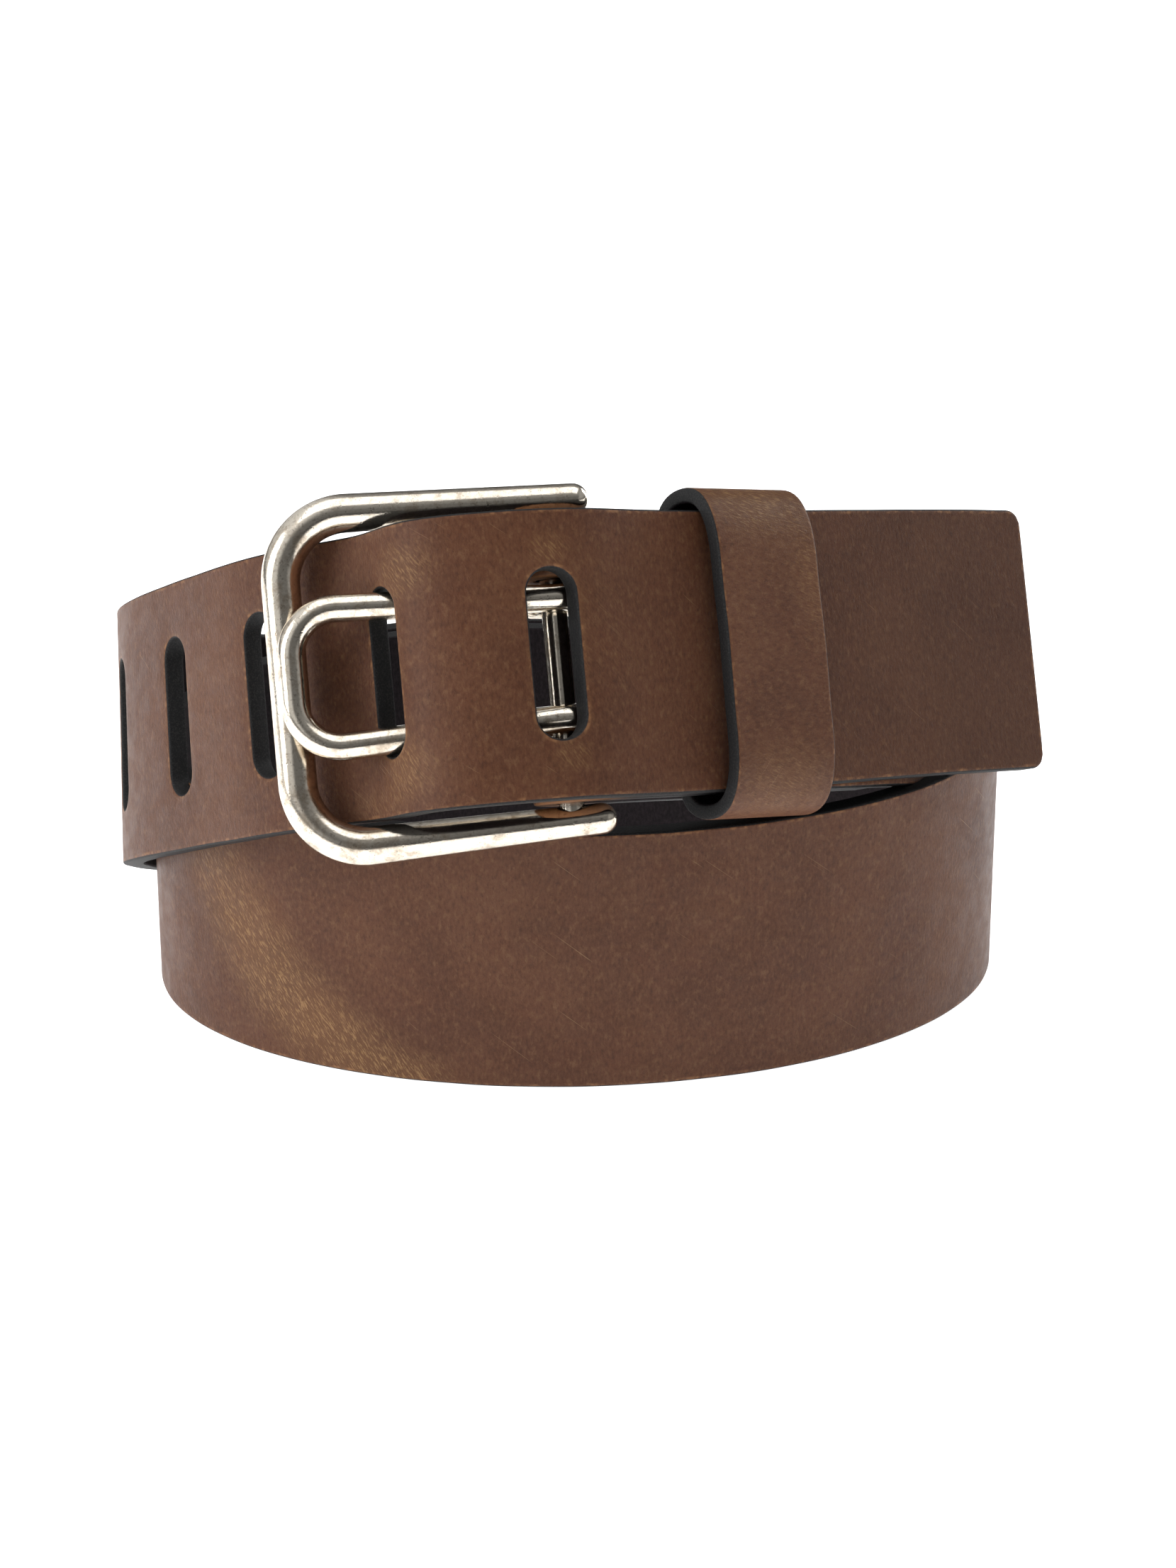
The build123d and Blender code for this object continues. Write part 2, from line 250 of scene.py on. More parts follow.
def fractions(line):
    steps = np.linalg.norm(np.diff(line, axis=0), axis=1)
    return (np.concatenate([[0], np.cumsum(steps)]) / steps.sum())[:, None]


def strap_route():
    """From the tip, back through the keeper and the buckle, round the coil, to the end of the flap."""
    run_heading = (ALONG @ RUN, INWARD @ RUN)
    run_start = run_point(TIP_RUN_START, -TIP_OFFSET) - BAR
    tip_knots = TIP_LINE + [(run_start @ ALONG, run_start @ INWARD)]
    tip_plane_line = smooth_line(tip_knots, (0, -1), run_heading)[::-1]
    tip_line = BAR + tip_plane_line[:, :1] * ALONG + tip_plane_line[:, 1:] * INWARD
    tip_run = straight_line(run_point(TIP_RUN_END, -TIP_OFFSET), run_point(TIP_RUN_START, -TIP_OFFSET))
    tip_run += TIP_RISE * ease(np.linspace(1, 0, len(tip_run)))[:, None] * UP

    coil = np.array([coil_point(angle) for angle in np.linspace(COIL_END, COIL_START, 900)])
    coil_in = unit(coil[0] - coil[1])
    coil_out = unit(coil[-1] - coil[-2])
    tip_start = tip_line[-1]
    left = bezier_line(
        [tip_start, tip_start + INWARD * LEFT_APPROACH, coil[0] + coil_in * LEFT_APPROACH, coil[0]]
    )
    run_end = run_point(RUN_END, -FOLD_RADIUS)
    right = bezier_line(
        [coil[-1], coil[-1] + coil_out * RIGHT_APPROACH]
        + [np.array(point) for point in reversed(RIGHT_POINTS)]
        + [run_end]
    )
    front = straight_line(run_end, run_point(0, -FOLD_RADIUS))
    fold = np.array(
        [run_point(-FOLD_RADIUS * sin(a), -FOLD_RADIUS * cos(a)) for a in np.linspace(0, pi, 60)]
    )
    flap_plane_line = smooth_line([(0, FOLD_RADIUS)] + FLAP_LINE[:1], (1, 0), (1, 0))
    flap_plane_line = np.vstack(
        [
            flap_plane_line[:-1],
            straight_line(*FLAP_LINE[:2])[:-1],
            smooth_line(FLAP_LINE[1:3], (1, 0), (1, 0))[:-1],
            straight_line(*FLAP_LINE[2:]),
        ]
    )
    flap = BAR + flap_plane_line[:, :1] * RUN + flap_plane_line[:, 1:] * RUN_INWARD

    lean = ease(fractions(tip_line) * 1.6 - 0.6) * LEFT_LEAN
    side = unit(np.cross(np.gradient(tip_line, axis=0), UP))
    tip_up = UP * np.cos(lean) + side * np.sin(lean)
    left_share = ease(fractions(left))
    left_up = tip_up[-1] * (1 - left_share) + FLOOR_UP * left_share
    right_share = ease(fractions(right))
    right_up = FLOOR_UP * (1 - right_share) + UP * right_share
    route = Route(
        [
            (tip_run, UP),
            (tip_line, tip_up),
            (left, left_up),
            (coil, FLOOR_UP),
            (right, right_up),
            (front, UP),
            (fold, UP),
            (flap, UP),
        ]
    )
    flap_length = np.linalg.norm(np.diff(flap, axis=0), axis=1).sum()
    route.fold_middle = route.length - flap_length - pi * FOLD_RADIUS / 2
    return route


def keeper_route():
    line = smooth_line(KEEPER_LINE, (0, 1), (0, 1))
    points = run_point(KEEPER_PLACE, 0) + line[:, :1] * RUN_INWARD + line[:, 1:] * UP
    return Route([(points[::-1], RUN)])


# ---- bands of leather: cut flat, with their holes, then bent along a route ------------------------
GRID_STEP = 0.00125
FOLD_STEP = 0.0006
TIP_STEP = 0.0006
KEEPER_STEP = 0.0008
WHOLE = 1.0  # longer than any stretch, which so stays undivided
PATCH_HALF_WIDTH = 0.01625
PATCH_MARGIN = 0.0041
RIM_LINES = (0.0007, 0.0020)
RINGS = (0.13, 0.40, 0.70)
SHARP_ANGLE = radians(60)
SWELL = 0.00012
SWELL_PATTERN = (25, 30, 1.7)
EDGE_WAVER = 0.00005
WAVER_PATTERN = (130, 130, 8.1)
EDGE_WAVER_REACH = 0.0006
PRESS_DEPTH = 0.00014
PRESS_REACH = 0.0009


def even_lines(stops):
    """Places from the first stop to the last, spaced by each stop's own step from the one before."""
    lines = [stops[0][0]]
    for (first, _), (last, step) in zip(stops, stops[1:]):
        count = max(1, round((last - first) / step))
        lines += [first + (last - first) * (i + 1) / count for i in range(count)]
    return lines


def rounded_corner(place, across, half_width, radius):
    """Draws the square corners at place 0 in to an arc."""
    dx, dy = place - radius, abs(across) - (half_width - radius)
    if radius == 0 or dx >= 0 or dy <= 0:
        return place, across
    ring = max(-dx, dy) / (dx * dx + dy * dy) ** 0.5
    return radius + dx * ring, (half_width - radius + dy * ring) * (1 if across > 0 else -1)


class Hole:
    """A hole with round corners, cut through a band on its middle line."""

    def __init__(self, place, length, width, radius):
        self.place = place
        self.radius = radius
        self.core_along = length / 2 - radius
        self.core_across = width / 2 - radius
        self.patch_start = place - length / 2 - PATCH_MARGIN
        self.patch_end = place + length / 2 + PATCH_MARGIN

    def distance(self, places, across):
        """Distance outside the hole's rim."""
        along = np.maximum(np.abs(places - self.place) - self.core_along, 0)
        return np.hypot(along, np.maximum(np.abs(across) - self.core_across, 0)) - self.radius

    def rim(self, place, across):
        """The point of the rim that faces a point outside the hole."""
        core = (
            self.place + min(max(place - self.place, -self.core_along), self.core_along),
            min(max(across, -self.core_across), self.core_across),
        )
        reach = ((place - core[0]) ** 2 + (across - core[1]) ** 2) ** 0.5
        share = self.radius / reach
        return core[0] + (place - core[0]) * share, core[1] + (across - core[1]) * share


def flat_cut(stops, half_width, holes=(), corner_radius=0.0):
    """Points and faces of a flat band, with its holes."""
    along = even_lines(stops)
    if holes:
        across = [-half_width, -half_width + RIM_LINES[0], -half_width + RIM_LINES[1], -PATCH_HALF_WIDTH]
        across = even_lines(
            [(place, WHOLE) for place in across]
            + [(PATCH_HALF_WIDTH, GRID_STEP)]
            + [(-place, WHOLE) for place in reversed(across[:-1])]
        )
    else:
        inner = half_width - RIM_LINES[0]
        across = even_lines(
            [(-half_width, WHOLE), (-inner, WHOLE), (inner, GRID_STEP), (half_width, WHOLE)]
        )
    points, faces, number = [], [], {}
    inside, patches = set(), []
    for hole in holes:
        i0 = min(range(len(along)), key=lambda i: abs(along[i] - hole.patch_start))
        i1 = min(range(len(along)), key=lambda i: abs(along[i] - hole.patch_end))
        j0 = min(range(len(across)), key=lambda j: abs(across[j] + PATCH_HALF_WIDTH))
        j1 = min(range(len(across)), key=lambda j: abs(across[j] - PATCH_HALF_WIDTH))
        patches.append((hole, i0, i1, j0, j1))
        inside |= {(i, j) for i in range(i0 + 1, i1) for j in range(j0 + 1, j1)}
    for i, place in enumerate(along):
        for j, side in enumerate(across):
            if (i, j) not in inside:
                number[i, j] = len(points)
                points.append(rounded_corner(place, side, half_width, corner_radius))
    skipped = {
        (i, j) for _, i0, i1, j0, j1 in patches for i in range(i0, i1) for j in range(j0, j1)
    }
    for i in range(len(along) - 1):
        for j in range(len(across) - 1):
            if (i, j) not in skipped:
                faces.append([number[i, j], number[i + 1, j], number[i + 1, j + 1], number[i, j + 1]])
    for hole, i0, i1, j0, j1 in patches:
        loop = [(i, j0) for i in range(i0, i1)] + [(i1, j) for j in range(j0, j1)]
        loop += [(i, j1) for i in range(i1, i0, -1)] + [(i0, j) for j in range(j1, j0, -1)]
        outer = [number[key] for key in loop]
        rows = []
        for share in (0,) + RINGS:
            row = []
            for key in outer:
                x, y = points[key]
                rim = hole.rim(x, y)
                row.append(len(points))
                points.append((rim[0] + (x - rim[0]) * share, rim[1] + (y - rim[1]) * share))
            rows.append(row)
        rows.append(outer)
        for inner_row, outer_row in zip(rows, rows[1:]):
            for k in range(len(outer)):
                after = (k + 1) % len(outer)
                faces.append([outer_row[k], outer_row[after], inner_row[after], inner_row[k]])
    return points, faces


def ripple(flat, along, across, layer):
    """Smooth unevenness over the flat leather, from -1 to 1."""
    return np.array([noise.noise(Vector((x * along, y * across, layer))) for x, y, _ in flat])


def leather_band(name, route, cut, width, thickness, holes=(), shape=None):
    """A band of leather: the flat cut given its thickness and rounded edges, then bent to the route."""
    points, faces = cut
    half = thickness / 2
    bm = bmesh.new()
    front = [bm.verts.new((x, y, half)) for x, y in points]
    back = [bm.verts.new((x, y, -half)) for x, y in points]
    directed = set()
    for face in faces:
        bm.faces.new([front[k] for k in face])
        bm.faces.new([back[k] for k in reversed(face)])
        directed |= {(face[k], face[(k + 1) % 4]) for k in range(4)}
    for a, b in directed:
        if (b, a) not in directed:
            bm.faces.new([front[b], front[a], back[a], back[b]])
    bm.normal_update()
    sharp = [edge for edge in bm.edges if edge.calc_face_angle(0) > SHARP_ANGLE]
    bmesh.ops.bevel(
        bm, geom=sharp, offset=EDGE_ROUNDING, segments=3, profile=0.5, affect="EDGES", clamp_overlap=True
    )
    bmesh.ops.recalc_face_normals(bm, faces=bm.faces)
    mesh = bpy.data.meshes.new(name)
    bm.to_mesh(mesh)
    bm.free()

    flat = np.empty(len(mesh.vertices) * 3)
    mesh.vertices.foreach_get("co", flat)
    flat = flat.reshape(-1, 3)
    to_rim = np.full(len(flat), 1.0)
    for hole in holes:
        to_rim = np.minimum(to_rim, hole.distance(flat[:, 0], flat[:, 1]))
    to_side = width / 2 - np.abs(flat[:, 1])
    to_end = np.minimum(flat[:, 0], route.length - flat[:, 0])
    to_edge = np.minimum(to_side, to_end)

    swell = ripple(flat, *SWELL_PATTERN) * SWELL
    waver = ripple(flat, *WAVER_PATTERN) * EDGE_WAVER
    pressed = np.exp(-((to_rim / PRESS_REACH) ** 2)) * PRESS_DEPTH * np.sign(flat[:, 2])
    point, _, up, outward = route.at(flat[:, 0])
    across = flat[:, 1] + waver * (to_side < EDGE_WAVER_REACH) * np.sign(flat[:, 1])
    depth = flat[:, 2] + swell - pressed
    placed = point + across[:, None] * up + depth[:, None] * outward
    if shape:
        placed = shape(placed, flat)
    mesh.vertices.foreach_set("co", placed.ravel())

    for attribute, kind, values in (
        ("flat", "FLOAT_VECTOR", flat / MM),
        ("rim", "FLOAT", to_rim / MM),
        ("edge", "FLOAT", to_edge / MM),
    ):
        layer = mesh.attributes.new(attribute, kind, "POINT")
        layer.data.foreach_set("vector" if kind == "FLOAT_VECTOR" else "value", values.ravel())
    mesh.polygons.foreach_set("use_smooth", [True] * len(mesh.polygons))
    mesh.update()
    band = bpy.data.objects.new(name, mesh)
    bpy.context.collection.objects.link(band)
    return band


def clear_of_prong(placed, flat):
    """Presses the lips of the prong's slot back from its two legs."""
    slot = TIP_LENGTH + PRONG_SLOT * SLOT_PITCH
    near = np.abs(flat[:, 0] - slot) < LIP_REACH
    clear = PRONG_RADIUS + LIP_GAP
    for side in (-1, 1):
        root = BAR - PRONG_OFFSET * PRONG_INWARD + side * PRONG_EYE_HALF_HEIGHT * UP
        leg = unit(-PRONG_ALONG + side * PRONG_SPREAD * UP)
        offset = placed - root
        offset -= (offset @ leg)[:, None] * leg
        distance = np.linalg.norm(offset, axis=1)
        inside = near & (distance < clear)
        push = offset / np.maximum(distance, 1e-6)[:, None] * (clear - distance)[:, None]
        placed = np.where(inside[:, None], placed + push, placed)
    return placed


# ---- wire of the buckle --------------------------------------------------------------------------
WIRE_RADIUS = 0.00275
ARM_END_RADIUS = 0.0022
OUTER_BAR_PLACE = 0.03775
ARM_HALF_HEIGHT = 0.0234
ARM_END_HALF_HEIGHT = 0.0225
FRAME_CORNER_RADIUS = 0.0095
ARM_OVERHANG = 0.0040
PRONG_REACH = 0.0369
PRONG_CORNER_RADIUS = 0.0065
EYE_ANGLE = radians(230)
WIRE_SIDES = 40
CAP_ROWS = 8


def corner_arc(centre, radius, first, last, steps=24):
    angles = np.linspace(first, last, steps)
    return [(centre[0] + radius * cos(a), centre[1] + radius * sin(a)) for a in angles]


def wire(name, points, radii, side):
    """A wire with round ends, along points, its first ring started towards side."""
    points = np.array(points, float)
    steps = np.linalg.norm(np.diff(points, axis=0), axis=1)
    places = np.concatenate([[0], np.cumsum(steps)])
    headings = unit(np.gradient(points, places, axis=0))
    rings = []
    for turn in np.linspace(0, pi / 2, CAP_ROWS, endpoint=False)[1:]:
        rings.append((points[0] - headings[0] * radii[0] * cos(turn), headings[0], radii[0] * sin(turn)))
    rings += list(zip(points, headings, radii))
    for turn in np.linspace(pi / 2, 0, CAP_ROWS, endpoint=False)[1:]:
        rings.append((points[-1] + headings[-1] * radii[-1] * cos(turn), headings[-1], radii[-1] * sin(turn)))
    bm = bmesh.new()
    rows = []
    for point, heading, radius in rings:
        first = unit(side - (side @ heading) * heading)
        second = np.cross(heading, first)
        side = first
        row = []
        for k in range(WIRE_SIDES):
            angle = 2 * pi * k / WIRE_SIDES
            row.append(bm.verts.new(point + radius * (cos(angle) * first + sin(angle) * second)))
        rows.append(row)
    for before, after in zip(rows, rows[1:]):
        for k in range(WIRE_SIDES):
            bm.faces.new([before[k], before[k - 1], after[k - 1], after[k]])
    ends = (points[0] - headings[0] * radii[0], points[-1] + headings[-1] * radii[-1])
    for end, row in zip(ends, (rows[0], rows[-1])):
        pole = bm.verts.new(end)
        for k in range(WIRE_SIDES):
            bm.faces.new([pole, row[k - 1], row[k]])
    bmesh.ops.recalc_face_normals(bm, faces=bm.faces)
    mesh = bpy.data.meshes.new(name)
    bm.to_mesh(mesh)
    bm.free()
    mesh.polygons.foreach_set("use_smooth", [True] * len(mesh.polygons))
    made = bpy.data.objects.new(name, mesh)
    bpy.context.collection.objects.link(made)
    return made


def spaced(points, step=0.0006):
    """The same line with points no further apart than a step."""
    points = np.array(points, float)
    out = [points[:1]]
    for first, last in zip(points, points[1:]):
        count = max(1, int(np.ceil(np.linalg.norm(last - first) / step)))
        out.append(first + (last - first) * (np.arange(1, count + 1) / count)[:, None])
    return np.vstack(out)


def hoop(root, root_half_height, reach, half_height, corner_radius):
    """Outline of a wire bent into a U, from one leg's root round its far bar to the other's."""
    inner = reach - corner_radius
    corner = half_height - corner_radius
    outline = [(root, root_half_height)]
    outline += corner_arc((-inner, corner), corner_radius, pi / 2, pi)
    outline += corner_arc((-inner, -corner), corner_radius, pi, 3 * pi / 2)
    outline += [(root, -root_half_height)]
    return spaced(outline)


def make_frame(material):
    outline = hoop(ARM_OVERHANG, ARM_END_HALF_HEIGHT, OUTER_BAR_PLACE, ARM_HALF_HEIGHT, FRAME_CORNER_RADIUS)
    taper = ARM_OVERHANG + OUTER_BAR_PLACE - FRAME_CORNER_RADIUS
    radii = ARM_END_RADIUS + (WIRE_RADIUS - ARM_END_RADIUS) * np.clip(
        (ARM_OVERHANG - outline[:, 0]) / taper, 0, 1
    )
    frame_wire = wire("frame_wire", [buckle_point(x, 0, z) for x, z in outline], radii, INWARD)
    frame_wire.data.materials.append(material)
    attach(frame_wire, "buckle")
    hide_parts("buckle_frame")


def make_prong(material):
    end_half = PRONG_EYE_HALF_HEIGHT + PRONG_REACH * PRONG_SPREAD
    outline = hoop(0, PRONG_EYE_HALF_HEIGHT, PRONG_REACH, end_half, PRONG_CORNER_RADIUS)
    legs = [BAR + x * PRONG_ALONG - PRONG_OFFSET * PRONG_INWARD + z * UP for x, z in outline]
    curl = [
        PRONG_OFFSET * (sin(a) * PRONG_ALONG - cos(a) * PRONG_INWARD)
        for a in np.linspace(0, EYE_ANGLE, 60)
    ]
    height = PRONG_EYE_HALF_HEIGHT * UP
    line = [BAR + height + step for step in reversed(curl[1:])] + legs
    line += [BAR - height + step for step in curl[1:]]
    prong_wire = wire("prong_wire", line, [PRONG_RADIUS] * len(line), UP)
    prong_wire.data.materials.append(material)
    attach(prong_wire, "prong")
    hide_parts("prong")


# ---- materials -----------------------------------------------------------------------------------
class Shader:
    """The node tree of a material or world, with short calls for its nodes."""

    def __init__(self, holder, surface="Principled BSDF"):
        holder.use_nodes = True
        self.holder = holder
        self.tree = holder.node_tree
        self.surface = self.tree.nodes[surface]

    def node(self, kind, inputs=(), output=0, **settings):
        made = self.tree.nodes.new(kind)
        for key, value in settings.items():
            setattr(made, key, value)
        for key, value in dict(inputs).items():
            self.put(made.inputs[key], value)
        return made.outputs[output]

    def put(self, socket, value):
        if isinstance(value, bpy.types.NodeSocket):
            self.tree.links.new(value, socket)
        else:
            socket.default_value = value

    def math(self, operation, first, second):
        return self.node("ShaderNodeMath", {0: first, 1: second}, operation=operation)

    def scaled(self, vector, scale, offset=(0, 0, 0)):
        return self.node("ShaderNodeMapping", {"Vector": vector, "Scale": scale, "Location": offset})

    def noise(self, vector, scale, detail=4.0, roughness=0.55):
        return self.node(
            "ShaderNodeTexNoise", {"Vector": vector, "Scale": scale, "Detail": detail, "Roughness": roughness}
        )

    def ramp(self, value, low, high, to_low=0.0, to_high=1.0):
        return self.node(
            "ShaderNodeMapRange",
            {"Value": value, "From Min": low, "From Max": high, "To Min": to_low, "To Max": to_high},
            interpolation_type="SMOOTHSTEP",
        )

    def cells(self, vector, scale):
        return self.node("ShaderNodeTexVoronoi", {"Vector": vector, "Scale": scale, "Randomness": 1.0})

    def bump(self, height, strength, distance):
        return self.node("ShaderNodeBump", {"Height": height, "Strength": strength, "Distance": distance})

    def blend(self, share, first, second):
        return self.node("ShaderNodeMix", {"Factor": share, 2: first, 3: second}, data_type="FLOAT")

    def mix(self, share, first, second):
        return self.node(
            "ShaderNodeMix", {"Factor": share, 6: first, 7: second}, output=2, data_type="RGBA"
        )

    def finish(self, **inputs):
        for key, value in inputs.items():
            self.put(self.surface.inputs[key.replace("_", " ")], value)
        return self.holder


def colour(red, green, blue):
    """Linear colour from the usual 0 to 255 values."""
    linear = [((level / 255 + 0.055) / 1.055) ** 2.4 for level in (red, green, blue)]
    return tuple(linear) + (1.0,)


def bell(shader, flat, place, across, place_reach, across_reach):
    """1 at a spot of the flat leather, falling to 0 at its reach."""
    moved = shader.scaled(
        flat,
        (1 / place_reach, 1 / across_reach, 0),
        (-place / place_reach, -across / across_reach, 0),
    )
    distance = shader.node("ShaderNodeVectorMath", {0: moved}, output=1, operation="LENGTH")
    return shader.ramp(distance, 1.0, 0.15)


# Sizes of the leather's patterns, in features per millimetre.
CLOUDS, BLOTCHES, FLECKS, FIBRES, PORES, GRAIN = 0.055, 0.22, 1.1, 2.4, 2.6, 4.0
BROWN_DARK, BROWN_LIGHT = colour(80, 49, 34), colour(92, 59, 41)
BLOTCH_BROWN = colour(84, 50, 35)
FIBRE_LIGHT, FIBRE_DARK = colour(108, 76, 54), colour(54, 32, 22)
FLECK_LIGHT, FLECK_DARK = colour(122, 90, 64), colour(56, 34, 25)
PORE_BROWN = colour(44, 27, 20)
# The second colour here is painted shade, laid over the strap's tip end where it faces away from the key
# light.
PALE_BROWN, PAINTED_SHADE_BROWN = colour(128, 92, 66), colour(52, 33, 24)
GOLDEN, GLINT = colour(118, 86, 57), colour(150, 116, 78)
WORN_BROWN, SCRATCH_BROWN = colour(146, 104, 70), colour(168, 134, 100)
PAINT_DARK, PAINT_LIGHT = colour(30, 30, 31), colour(62, 60, 58)
BARE_DARK, BARE_LIGHT = colour(96, 62, 40), colour(140, 98, 64)
FLESH_DARK, FLESH_LIGHT = colour(22, 17, 19), colour(38, 31, 34)
SOFT_GOLD = 0.42
WRINKLE_SCALE = (4.4, 0.80, 1.0)
SCRATCH_ANGLE = 0.9
SCRATCH_SCALE = (6.0, 0.05, 1.0)
BARE_REACH = (16.0, 60.0)
# Reach of the painted shade over the tip end, along and across, in millimetres.
PAINTED_SHADE_REACH = (75.0, 120.0)
SPECULAR_LEVEL = 0.17
LEATHER_BUMP = (0.80, 0.00012)
RAGGED = 0.16
PAINT_ROUGHNESS, FLESH_ROUGHNESS = 0.58, 0.82


def turned(shader, flat, angle, scale):
    """The flat leather's coordinates, turned and stretched for a pattern of lines."""
    rotated = shader.node("ShaderNodeVectorRotate", {"Vector": flat, "Angle": angle}, rotation_type="Z_AXIS")
    return shader.scaled(rotated, scale)


def grain_side(shader, flat, rim, edge, patterns, lighter, creases, crease_angle, painted_shade):
    """The grain side's colour, with painted shade darkening the strap's tip end where asked.

    A ramp gives where a pattern starts to show, where it shows fully, and its strength there.
    """
    blotch, fibre, pores = patterns
    cloud = shader.noise(flat, CLOUDS, 3.0)
    fleck = shader.noise(shader.scaled(flat, (1.0, 0.6, 1.0)), FLECKS, 6.0, 0.75)
    brown = shader.mix(shader.ramp(cloud, 0.35, 0.65), BROWN_DARK, BROWN_LIGHT)
    brown = shader.mix(shader.ramp(blotch, 0.38, 0.72, 0.0, 0.55), brown, BLOTCH_BROWN)
    brown = shader.mix(shader.ramp(fibre, 0.42, 0.78, 0.0, 0.42), brown, FIBRE_LIGHT)
    brown = shader.mix(shader.ramp(fibre, 0.50, 0.28, 0.0, 0.45), brown, FIBRE_DARK)
    brown = shader.mix(shader.ramp(fleck, 0.50, 0.68, 0.0, 0.38), brown, FLECK_LIGHT)
    brown = shader.mix(shader.ramp(fleck, 0.46, 0.31, 0.0, 0.40), brown, FLECK_DARK)
    brown = shader.mix(shader.ramp(pores, 0.16, 0.04, 0.0, 0.35), brown, PORE_BROWN)
    if lighter:
        brown = shader.mix(lighter, brown, PALE_BROWN)
    # Painted shade: the tip end is darkened where it faces away from the key light.
    if painted_shade:
        end = bell(shader, flat, 0.0, 0.0, *PAINTED_SHADE_REACH)
        brown = shader.mix(shader.math("MULTIPLY", end, painted_shade), brown, PAINTED_SHADE_BROWN)

    wrinkle = shader.noise(turned(shader, flat, crease_angle, WRINKLE_SCALE), 1.0, 3.0, 0.6)
    lines = shader.ramp(wrinkle, 0.48, 0.68)
    for place, across, place_reach, across_reach, strength in creases:
        spot = bell(shader, flat, place, across, place_reach, across_reach)
        soft = shader.math("MULTIPLY", spot, SOFT_GOLD * strength)
        share = shader.math("MULTIPLY", shader.math("MULTIPLY", spot, lines), strength)
        brown = shader.mix(soft, brown, GOLDEN)
        brown = shader.mix(share, brown, GLINT)

    uneven = shader.ramp(shader.noise(flat, 0.9, 3.0), 0.35, 0.70, 0.02, 0.26)
    halo = shader.math("MULTIPLY", shader.ramp(rim, 1.6, 0.1), uneven)
    brown = shader.mix(halo, brown, GOLDEN)
    rubbed = shader.ramp(shader.noise(flat, 0.8, 4.0), 0.48, 0.68, 0.03, 0.60)
    near_edge = shader.ramp(shader.math("MINIMUM", edge, rim), 0.85, 0.45)
    brown = shader.mix(shader.math("MULTIPLY", near_edge, rubbed), brown, WORN_BROWN)
    scratch = shader.noise(turned(shader, flat, SCRATCH_ANGLE, SCRATCH_SCALE), 1.0, 1.0)
    scratches = shader.math(
        "MULTIPLY",
        shader.ramp(scratch, 0.735, 0.775, 0.0, 0.38),
        shader.ramp(shader.noise(flat, 0.10, 2.0), 0.5, 0.62),
    )
    return shader.mix(scratches, brown, SCRATCH_BROWN)


def leather(name, thickness, creases, crease_angle, lighter=0.0, painted_shade=0.0, bare_edge=None):
    """Waxed brown leather with a painted edge and a black flesh side, and painted shade over the strap's tip
    end where asked.
    """
    shader = Shader(bpy.data.materials.new(name))
    flat = shader.node("ShaderNodeAttribute", output=1, attribute_name="flat")
    rim = shader.node("ShaderNodeAttribute", output=2, attribute_name="rim")
    edge = shader.node("ShaderNodeAttribute", output=2, attribute_name="edge")
    depth = shader.node("ShaderNodeSeparateXYZ", {0: flat}, output=2)
    half = thickness / MM / 2
    fibre = shader.noise(shader.scaled(flat, (1.0, 0.45, 1.0)), FIBRES, 5.0, 0.65)
    grain = shader.noise(flat, GRAIN, 4.0, 0.7)
    blotch = shader.noise(flat, BLOTCHES, 5.0, 0.6)
    pores = shader.cells(flat, PORES)
    patterns = (blotch, fibre, pores)
    brown = grain_side(shader, flat, rim, edge, patterns, lighter, creases, crease_angle, painted_shade)

    paint = shader.mix(shader.ramp(grain, 0.45, 0.7, 0.0, 0.55), PAINT_DARK, PAINT_LIGHT)
    if bare_edge is not None:
        bare = bell(shader, flat, bare_edge, 0.0, *BARE_REACH)
        paint = shader.mix(bare, paint, shader.mix(fibre, BARE_DARK, BARE_LIGHT))
    flesh = shader.mix(shader.ramp(fibre, 0.35, 0.7), FLESH_DARK, FLESH_LIGHT)
    ragged = shader.math("MULTIPLY", shader.noise(flat, 1.3, 3.0), RAGGED)
    ragged = shader.math("SUBTRACT", ragged, RAGGED / 2)
    height = shader.math("ADD", depth, ragged)
    outline = shader.math("MINIMUM", edge, rim)
    outline = shader.math("ADD", outline, shader.math("MULTIPLY", ragged, 0.5))
    on_face = shader.ramp(height, half - 0.24, half - 0.12)
    on_face = shader.math("MULTIPLY", on_face, shader.ramp(outline, 0.20, 0.34))
    on_back = shader.ramp(height, -half + 0.30, -half + 0.14)
    look = shader.mix(on_face, paint, brown)
    look = shader.mix(on_back, look, flesh)

    face_rough = shader.ramp(shader.noise(flat, 0.35, 5.0), 0.3, 0.7, 0.40, 0.52)
    rough = shader.blend(on_face, PAINT_ROUGHNESS, face_rough)
    rough = shader.blend(on_back, rough, FLESH_ROUGHNESS)

    relief = shader.math("MULTIPLY", grain, 0.35)
    relief = shader.math("ADD", relief, shader.math("MULTIPLY", fibre, 0.75))
    relief = shader.math("ADD", relief, shader.ramp(pores, 0.02, 0.22, 0.0, 0.35))
    relief = shader.math("ADD", relief, shader.math("MULTIPLY", blotch, 0.9))
    shader.surface.inputs["Specular IOR Level"].default_value = SPECULAR_LEVEL
    return shader.finish(Base_Color=look, Roughness=rough, Normal=shader.bump(relief, *LEATHER_BUMP))


# Sizes of the metal's patterns, in features per metre.
TARNISH, SPECKS, HAIRLINES, PITS = 260.0, 1500.0, 1100.0, 1100.0
SPECK_BROWN, PIT_BROWN = colour(96, 80, 64), colour(62, 50, 42)
NICKEL_BRIGHT, NICKEL_DULL = colour(230, 221, 206), colour(150, 130, 106)
METAL_BUMP = (0.24, 0.00005)
STEEL_BRIGHT, STEEL_DULL = colour(205, 202, 196), colour(150, 142, 132)


